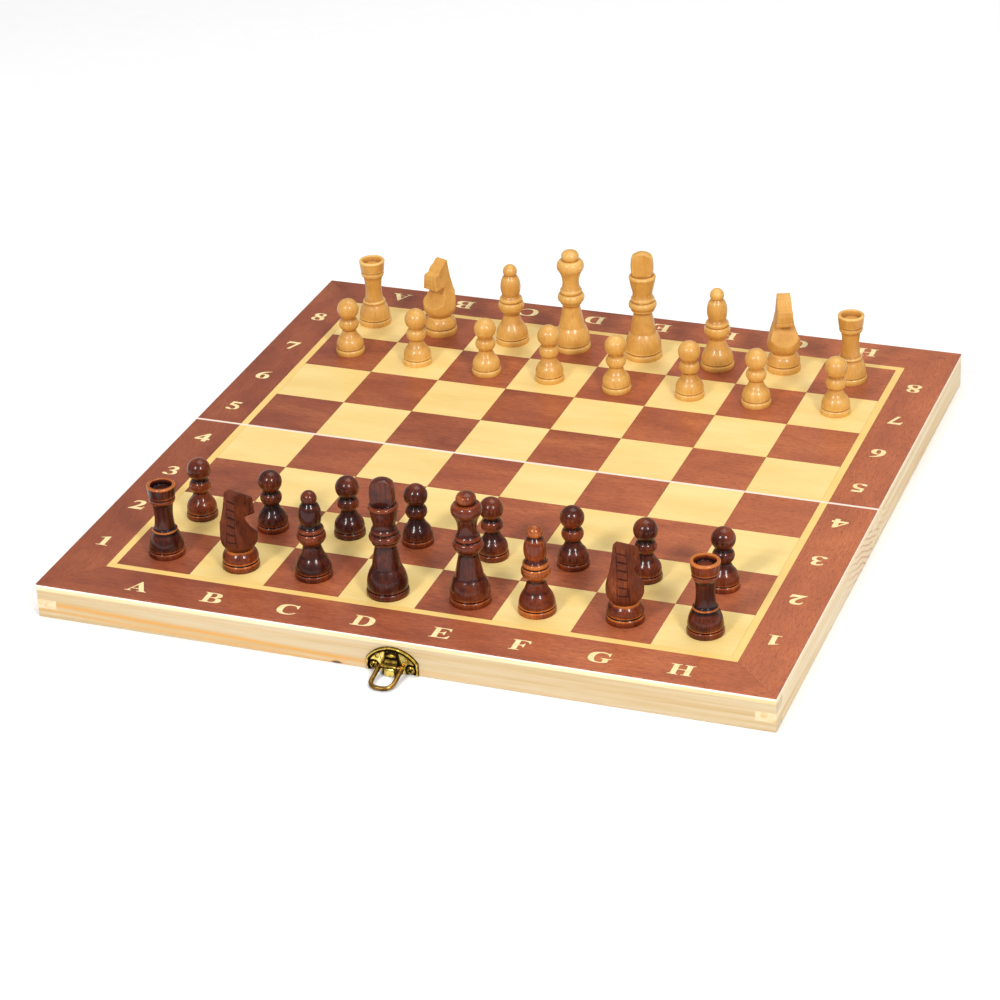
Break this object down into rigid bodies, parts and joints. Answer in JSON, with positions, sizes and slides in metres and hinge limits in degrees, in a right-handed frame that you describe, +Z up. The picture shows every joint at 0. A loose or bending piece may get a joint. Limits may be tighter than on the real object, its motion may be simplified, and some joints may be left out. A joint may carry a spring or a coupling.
{
  "type": "folding chess set",
  "caption": "Folding wooden chess board on two hinged storage trays, with veneered squares, a brass hook-and-loop latch and turned chess pieces set out for play.",
  "frame": {"origin": "middle of the seam between the two halves, on the plane of the tray rims that rest on the table", "axes": "+X along the ranks from file a to file h, +Y from rank one to rank eight across the seam, +Z up"},
  "size_m": [0.34, 0.3612, 0.074],
  "materials": {
    "pine": "satin",
    "panel_wood": "matte",
    "dark_veneer": "satin",
    "light_veneer": "satin",
    "border_veneer": "satin",
    "boxwood": "semi-gloss",
    "dark_stained_wood": "gloss",
    "aged_brass": "satin",
    "dark_brass": "satin",
    "bright_brass": "polished"
  },
  "bodies": {
    "near_half": {"near_front_rail": "pine", "near_hinge_rail": "pine", "near_left_rail": "pine", "near_right_rail": "pine", "near_panel": "panel_wood", "near_dark_squares": "dark_veneer", "near_light_squares": "light_veneer", "near_border": "border_veneer", "near_hinge_left": "bright_brass", "near_hinge_right": "bright_brass", "near_hinge_screws": "bright_brass", "hinge_pins": "bright_brass", "latch_plate": "aged_brass", "latch_screws": "dark_brass"},
    "far_half": {"far_hinge_rail": "pine", "far_back_rail": "pine", "far_left_rail": "pine", "far_right_rail": "pine", "far_panel": "panel_wood", "far_dark_squares": "dark_veneer", "far_light_squares": "light_veneer", "far_border": "border_veneer", "far_hinge_left": "bright_brass", "far_hinge_right": "bright_brass", "far_hinge_screws": "bright_brass", "catch_plate": "aged_brass", "catch_screws": "dark_brass"},
    "loop": {"latch_loop": "aged_brass"},
    "dark_rook_a1": {"dark_rook_a1": "dark_stained_wood"},
    "dark_knight_b1": {"dark_knight_b1": "dark_stained_wood"},
    "dark_bishop_c1": {"dark_bishop_c1": "dark_stained_wood"},
    "dark_king_d1": {"dark_king_d1": "dark_stained_wood"},
    "dark_queen_e1": {"dark_queen_e1": "dark_stained_wood"},
    "dark_bishop_f1": {"dark_bishop_f1": "dark_stained_wood"},
    "dark_knight_g1": {"dark_knight_g1": "dark_stained_wood"},
    "dark_rook_h1": {"dark_rook_h1": "dark_stained_wood"},
    "dark_pawn_a2": {"dark_pawn_a2": "dark_stained_wood"},
    "dark_pawn_b2": {"dark_pawn_b2": "dark_stained_wood"},
    "dark_pawn_c2": {"dark_pawn_c2": "dark_stained_wood"},
    "dark_pawn_d2": {"dark_pawn_d2": "dark_stained_wood"},
    "dark_pawn_e2": {"dark_pawn_e2": "dark_stained_wood"},
    "dark_pawn_f2": {"dark_pawn_f2": "dark_stained_wood"},
    "dark_pawn_g2": {"dark_pawn_g2": "dark_stained_wood"},
    "dark_pawn_h2": {"dark_pawn_h2": "dark_stained_wood"},
    "light_rook_a8": {"light_rook_a8": "boxwood"},
    "light_knight_b8": {"light_knight_b8": "boxwood"},
    "light_bishop_c8": {"light_bishop_c8": "boxwood"},
    "light_queen_d8": {"light_queen_d8": "boxwood"},
    "light_king_e8": {"light_king_e8": "boxwood"},
    "light_bishop_f8": {"light_bishop_f8": "boxwood"},
    "light_knight_g8": {"light_knight_g8": "boxwood"},
    "light_rook_h8": {"light_rook_h8": "boxwood"},
    "light_pawn_a7": {"light_pawn_a7": "boxwood"},
    "light_pawn_b7": {"light_pawn_b7": "boxwood"},
    "light_pawn_c7": {"light_pawn_c7": "boxwood"},
    "light_pawn_d7": {"light_pawn_d7": "boxwood"},
    "light_pawn_e7": {"light_pawn_e7": "boxwood"},
    "light_pawn_f7": {"light_pawn_f7": "boxwood"},
    "light_pawn_g7": {"light_pawn_g7": "boxwood"},
    "light_pawn_h7": {"light_pawn_h7": "boxwood"}
  },
  "joints": [
    {"name": "board_fold", "type": "hinge", "parent": "near_half", "child": "far_half", "pos_m": [0, 0, 0], "axis": [-1, 0, 0], "range_deg": [0, 180]},
    {"name": "loop_swing", "type": "hinge", "parent": "near_half", "child": "loop", "pos_m": [0, -0.17238, 0.0036], "axis": [1, 0, 0], "range_deg": [-65, 77]},
    {"name": "lift_dark_rook_a1", "type": "slide", "parent": "near_half", "child": "dark_rook_a1", "axis": [0, 0, 1], "range_m": [0, 0.09]},
    {"name": "lift_dark_knight_b1", "type": "slide", "parent": "near_half", "child": "dark_knight_b1", "axis": [0, 0, 1], "range_m": [0, 0.09]},
    {"name": "lift_dark_bishop_c1", "type": "slide", "parent": "near_half", "child": "dark_bishop_c1", "axis": [0, 0, 1], "range_m": [0, 0.09]},
    {"name": "lift_dark_king_d1", "type": "slide", "parent": "near_half", "child": "dark_king_d1", "axis": [0, 0, 1], "range_m": [0, 0.09]},
    {"name": "lift_dark_queen_e1", "type": "slide", "parent": "near_half", "child": "dark_queen_e1", "axis": [0, 0, 1], "range_m": [0, 0.09]},
    {"name": "lift_dark_bishop_f1", "type": "slide", "parent": "near_half", "child": "dark_bishop_f1", "axis": [0, 0, 1], "range_m": [0, 0.09]},
    {"name": "lift_dark_knight_g1", "type": "slide", "parent": "near_half", "child": "dark_knight_g1", "axis": [0, 0, 1], "range_m": [0, 0.09]},
    {"name": "lift_dark_rook_h1", "type": "slide", "parent": "near_half", "child": "dark_rook_h1", "axis": [0, 0, 1], "range_m": [0, 0.09]},
    {"name": "lift_dark_pawn_a2", "type": "slide", "parent": "near_half", "child": "dark_pawn_a2", "axis": [0, 0, 1], "range_m": [0, 0.09]},
    {"name": "lift_dark_pawn_b2", "type": "slide", "parent": "near_half", "child": "dark_pawn_b2", "axis": [0, 0, 1], "range_m": [0, 0.09]},
    {"name": "lift_dark_pawn_c2", "type": "slide", "parent": "near_half", "child": "dark_pawn_c2", "axis": [0, 0, 1], "range_m": [0, 0.09]},
    {"name": "lift_dark_pawn_d2", "type": "slide", "parent": "near_half", "child": "dark_pawn_d2", "axis": [0, 0, 1], "range_m": [0, 0.09]},
    {"name": "lift_dark_pawn_e2", "type": "slide", "parent": "near_half", "child": "dark_pawn_e2", "axis": [0, 0, 1], "range_m": [0, 0.09]},
    {"name": "lift_dark_pawn_f2", "type": "slide", "parent": "near_half", "child": "dark_pawn_f2", "axis": [0, 0, 1], "range_m": [0, 0.09]},
    {"name": "lift_dark_pawn_g2", "type": "slide", "parent": "near_half", "child": "dark_pawn_g2", "axis": [0, 0, 1], "range_m": [0, 0.09]},
    {"name": "lift_dark_pawn_h2", "type": "slide", "parent": "near_half", "child": "dark_pawn_h2", "axis": [0, 0, 1], "range_m": [0, 0.09]},
    {"name": "lift_light_rook_a8", "type": "slide", "parent": "far_half", "child": "light_rook_a8", "axis": [0, 0, 1], "range_m": [0, 0.09]},
    {"name": "lift_light_knight_b8", "type": "slide", "parent": "far_half", "child": "light_knight_b8", "axis": [0, 0, 1], "range_m": [0, 0.09]},
    {"name": "lift_light_bishop_c8", "type": "slide", "parent": "far_half", "child": "light_bishop_c8", "axis": [0, 0, 1], "range_m": [0, 0.09]},
    {"name": "lift_light_queen_d8", "type": "slide", "parent": "far_half", "child": "light_queen_d8", "axis": [0, 0, 1], "range_m": [0, 0.09]},
    {"name": "lift_light_king_e8", "type": "slide", "parent": "far_half", "child": "light_king_e8", "axis": [0, 0, 1], "range_m": [0, 0.09]},
    {"name": "lift_light_bishop_f8", "type": "slide", "parent": "far_half", "child": "light_bishop_f8", "axis": [0, 0, 1], "range_m": [0, 0.09]},
    {"name": "lift_light_knight_g8", "type": "slide", "parent": "far_half", "child": "light_knight_g8", "axis": [0, 0, 1], "range_m": [0, 0.09]},
    {"name": "lift_light_rook_h8", "type": "slide", "parent": "far_half", "child": "light_rook_h8", "axis": [0, 0, 1], "range_m": [0, 0.09]},
    {"name": "lift_light_pawn_a7", "type": "slide", "parent": "far_half", "child": "light_pawn_a7", "axis": [0, 0, 1], "range_m": [0, 0.09]},
    {"name": "lift_light_pawn_b7", "type": "slide", "parent": "far_half", "child": "light_pawn_b7", "axis": [0, 0, 1], "range_m": [0, 0.09]},
    {"name": "lift_light_pawn_c7", "type": "slide", "parent": "far_half", "child": "light_pawn_c7", "axis": [0, 0, 1], "range_m": [0, 0.09]},
    {"name": "lift_light_pawn_d7", "type": "slide", "parent": "far_half", "child": "light_pawn_d7", "axis": [0, 0, 1], "range_m": [0, 0.09]},
    {"name": "lift_light_pawn_e7", "type": "slide", "parent": "far_half", "child": "light_pawn_e7", "axis": [0, 0, 1], "range_m": [0, 0.09]},
    {"name": "lift_light_pawn_f7", "type": "slide", "parent": "far_half", "child": "light_pawn_f7", "axis": [0, 0, 1], "range_m": [0, 0.09]},
    {"name": "lift_light_pawn_g7", "type": "slide", "parent": "far_half", "child": "light_pawn_g7", "axis": [0, 0, 1], "range_m": [0, 0.09]},
    {"name": "lift_light_pawn_h7", "type": "slide", "parent": "far_half", "child": "light_pawn_h7", "axis": [0, 0, 1], "range_m": [0, 0.09]}
  ]
}
